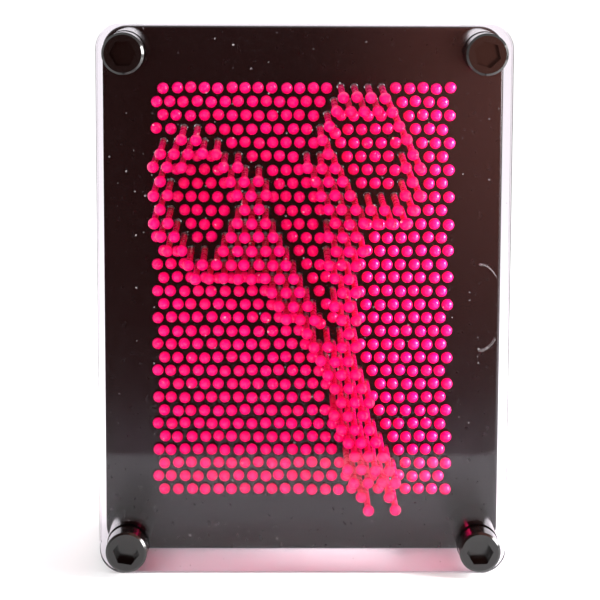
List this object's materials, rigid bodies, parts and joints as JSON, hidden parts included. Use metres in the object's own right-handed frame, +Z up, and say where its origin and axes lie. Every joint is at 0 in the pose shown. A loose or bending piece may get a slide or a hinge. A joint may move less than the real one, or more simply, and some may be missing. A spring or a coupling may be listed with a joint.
{
  "type": "pin art impression toy",
  "caption": "Upright screen of sliding round-headed pins between two black panels, behind a clear cover, on four corner posts.",
  "frame": {"origin": "middle of the footprint, on the surface that the toy stands on", "axes": "+X to the right of someone who looks at the cover, +Y away from that person towards the legs' free ends, +Z up"},
  "size_m": [0.15, 0.0918, 0.202],
  "materials": {
    "clear_cover": "polished clear acrylic",
    "black_panel": "moulded black, semi-gloss",
    "black_post": "moulded black, semi-gloss",
    "pink_pin": "moulded hot pink, glossy"
  },
  "bodies": {
    "frame": {"front_cover": "clear_cover", "front_pin_panel": "black_panel", "rear_pin_panel": "black_panel", "cap_screw_top_left": "black_post", "cap_screw_top_right": "black_post", "cap_screw_bottom_left": "black_post", "cap_screw_bottom_right": "black_post", "front_sleeve_top_left": "black_post", "front_sleeve_top_right": "black_post", "front_sleeve_bottom_left": "black_post", "front_sleeve_bottom_right": "black_post", "rear_leg_top_left": "black_post", "rear_leg_top_right": "black_post", "rear_leg_bottom_left": "black_post", "rear_leg_bottom_right": "black_post"},
    "field_pins_01": {"field_pins_01": "pink_pin"},
    "field_pins_02": {"field_pins_02": "pink_pin"},
    "field_pins_03": {"field_pins_03": "pink_pin"},
    "field_pins_04": {"field_pins_04": "pink_pin"},
    "field_pins_05": {"field_pins_05": "pink_pin"},
    "field_pins_06": {"field_pins_06": "pink_pin"},
    "field_pins_07": {"field_pins_07": "pink_pin"},
    "field_pins_08": {"field_pins_08": "pink_pin"},
    "field_pins_09": {"field_pins_09": "pink_pin"},
    "field_pins_10": {"field_pins_10": "pink_pin"},
    "field_pins_11": {"field_pins_11": "pink_pin"},
    "field_pins_12": {"field_pins_12": "pink_pin"},
    "field_pins_13": {"field_pins_13": "pink_pin"},
    "field_pins_14": {"field_pins_14": "pink_pin"},
    "field_pins_15": {"field_pins_15": "pink_pin"},
    "field_pins_16": {"field_pins_16": "pink_pin"},
    "left_bow_pins": {"left_bow_pins": "pink_pin"},
    "left_web_pins": {"left_web_pins": "pink_pin"},
    "left_shank_pins": {"left_shank_pins": "pink_pin"},
    "right_bow_pins": {"right_bow_pins": "pink_pin"},
    "right_web_pins": {"right_web_pins": "pink_pin"},
    "right_shank_pins": {"right_shank_pins": "pink_pin"},
    "left_blade_pins": {"left_blade_pins": "pink_pin"},
    "right_blade_pins": {"right_blade_pins": "pink_pin"},
    "part_lifted_pins": {"part_lifted_pins": "pink_pin"}
  },
  "joints": [
    {"name": "field_pins_01_slide", "type": "slide", "parent": "frame", "child": "field_pins_01", "axis": [0, -0.9981, -0.061], "range_m": [0, 0.0284]},
    {"name": "field_pins_02_slide", "type": "slide", "parent": "frame", "child": "field_pins_02", "axis": [0, -0.9981, -0.061], "range_m": [0, 0.0284]},
    {"name": "field_pins_03_slide", "type": "slide", "parent": "frame", "child": "field_pins_03", "axis": [0, -0.9981, -0.061], "range_m": [0, 0.0284]},
    {"name": "field_pins_04_slide", "type": "slide", "parent": "frame", "child": "field_pins_04", "axis": [0, -0.9981, -0.061], "range_m": [0, 0.0284]},
    {"name": "field_pins_05_slide", "type": "slide", "parent": "frame", "child": "field_pins_05", "axis": [0, -0.9981, -0.061], "range_m": [0, 0.0284]},
    {"name": "field_pins_06_slide", "type": "slide", "parent": "frame", "child": "field_pins_06", "axis": [0, -0.9981, -0.061], "range_m": [0, 0.0284]},
    {"name": "field_pins_07_slide", "type": "slide", "parent": "frame", "child": "field_pins_07", "axis": [0, -0.9981, -0.061], "range_m": [0, 0.0284]},
    {"name": "field_pins_08_slide", "type": "slide", "parent": "frame", "child": "field_pins_08", "axis": [0, -0.9981, -0.061], "range_m": [0, 0.0284]},
    {"name": "field_pins_09_slide", "type": "slide", "parent": "frame", "child": "field_pins_09", "axis": [0, -0.9981, -0.061], "range_m": [0, 0.0284]},
    {"name": "field_pins_10_slide", "type": "slide", "parent": "frame", "child": "field_pins_10", "axis": [0, -0.9981, -0.061], "range_m": [0, 0.0284]},
    {"name": "field_pins_11_slide", "type": "slide", "parent": "frame", "child": "field_pins_11", "axis": [0, -0.9981, -0.061], "range_m": [0, 0.0284]},
    {"name": "field_pins_12_slide", "type": "slide", "parent": "frame", "child": "field_pins_12", "axis": [0, -0.9981, -0.061], "range_m": [0, 0.0284]},
    {"name": "field_pins_13_slide", "type": "slide", "parent": "frame", "child": "field_pins_13", "axis": [0, -0.9981, -0.061], "range_m": [0, 0.0284]},
    {"name": "field_pins_14_slide", "type": "slide", "parent": "frame", "child": "field_pins_14", "axis": [0, -0.9981, -0.061], "range_m": [0, 0.0284]},
    {"name": "field_pins_15_slide", "type": "slide", "parent": "frame", "child": "field_pins_15", "axis": [0, -0.9981, -0.061], "range_m": [0, 0.0284]},
    {"name": "field_pins_16_slide", "type": "slide", "parent": "frame", "child": "field_pins_16", "axis": [0, -0.9981, -0.061], "range_m": [0, 0.0284]},
    {"name": "left_bow_pins_slide", "type": "slide", "parent": "frame", "child": "left_bow_pins", "axis": [0, -0.9981, -0.061], "range_m": [-0.0284, 0]},
    {"name": "left_web_pins_slide", "type": "slide", "parent": "frame", "child": "left_web_pins", "axis": [0, -0.9981, -0.061], "range_m": [-0.0284, 0]},
    {"name": "left_shank_pins_slide", "type": "slide", "parent": "frame", "child": "left_shank_pins", "axis": [0, -0.9981, -0.061], "range_m": [-0.0284, 0]},
    {"name": "right_bow_pins_slide", "type": "slide", "parent": "frame", "child": "right_bow_pins", "axis": [0, -0.9981, -0.061], "range_m": [-0.0284, 0]},
    {"name": "right_web_pins_slide", "type": "slide", "parent": "frame", "child": "right_web_pins", "axis": [0, -0.9981, -0.061], "range_m": [-0.0284, 0]},
    {"name": "right_shank_pins_slide", "type": "slide", "parent": "frame", "child": "right_shank_pins", "axis": [0, -0.9981, -0.061], "range_m": [-0.0284, 0]},
    {"name": "left_blade_pins_slide", "type": "slide", "parent": "frame", "child": "left_blade_pins", "axis": [0, -0.9981, -0.061], "range_m": [-0.0284, 0]},
    {"name": "right_blade_pins_slide", "type": "slide", "parent": "frame", "child": "right_blade_pins", "axis": [0, -0.9981, -0.061], "range_m": [-0.0284, 0]},
    {"name": "part_lifted_pins_slide", "type": "slide", "parent": "frame", "child": "part_lifted_pins", "axis": [0, -0.9981, -0.061], "range_m": [-0.0106, 0.018]}
  ]
}
